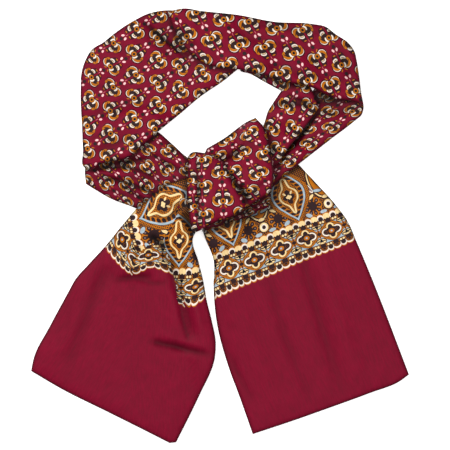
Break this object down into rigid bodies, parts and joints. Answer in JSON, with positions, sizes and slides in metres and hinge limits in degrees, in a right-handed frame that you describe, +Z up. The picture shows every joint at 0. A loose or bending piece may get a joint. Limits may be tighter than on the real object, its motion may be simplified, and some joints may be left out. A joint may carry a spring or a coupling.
{
  "type": "tubular dress scarf, laid flat in a knotted neck loop",
  "caption": "Flat tubular twill scarf in a neck loop with one flat knot, floral middle, printed borders and plain burgundy ends.",
  "frame": {"origin": "middle of the laid scarf's box, on the surface it lies on", "axes": "+Z up from the surface, +Y towards the top of the neck loop, +X to the right seen from above"},
  "size_m": [0.491, 0.564, 0.0404],
  "materials": {
    "printed_twill": "silky twill, burgundy ground with a small gold, cream and brown flower print",
    "plain_twill": "silky twill, plain burgundy end with a printed border near the knot"
  },
  "bodies": {
    "root": {"knot_back": "printed_twill", "strand_lower_left": "printed_twill", "tail_right_back": "plain_twill", "tail_right_front": "plain_twill", "tail_left_back": "plain_twill", "tail_left_front": "plain_twill", "panel_left": "printed_twill", "strand_right_outer": "printed_twill", "strand_right_flap": "printed_twill", "panel_top": "printed_twill", "knot_pleats": "printed_twill", "knot_front": "printed_twill"}
  },
  "joints": []
}
